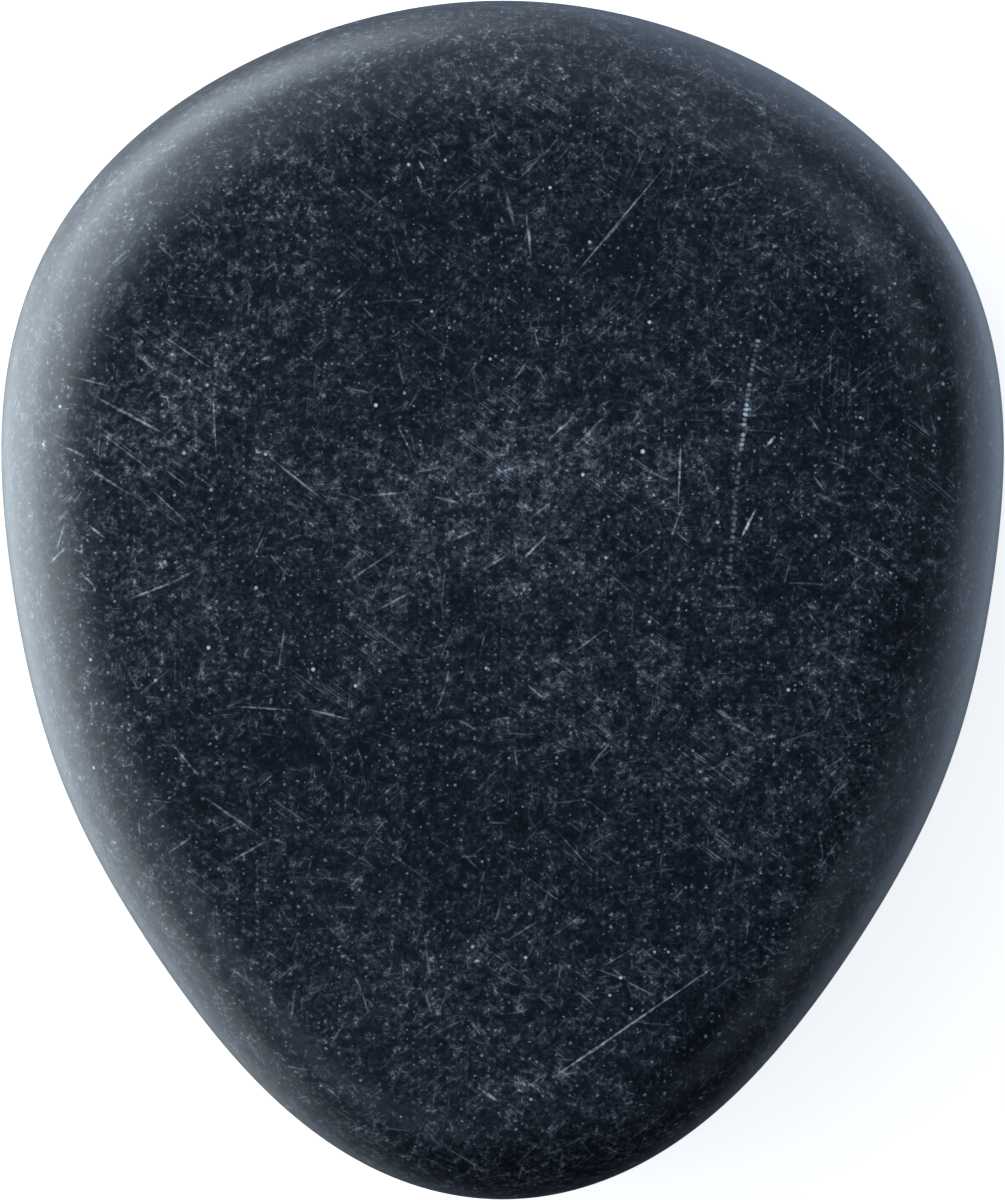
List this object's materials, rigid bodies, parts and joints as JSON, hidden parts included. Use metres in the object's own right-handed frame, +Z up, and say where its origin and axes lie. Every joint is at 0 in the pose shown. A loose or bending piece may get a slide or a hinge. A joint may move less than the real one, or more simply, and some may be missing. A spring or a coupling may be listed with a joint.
{
  "type": "massage stone",
  "caption": "Flat egg-shaped pebble of polished dark basalt with a rounded rim and a flat underside, warmed and laid on the body in hot-stone massage.",
  "frame": {"origin": "on the flat underside, in the middle of the stone's length and width", "axes": "+Z up out of the domed top face, +Y from the narrow nose towards the broad crown, +X across the stone"},
  "size_m": [0.0752, 0.09, 0.022],
  "materials": {
    "basalt": "satin"
  },
  "bodies": {
    "root": {"basalt_stone": "basalt"}
  },
  "joints": []
}
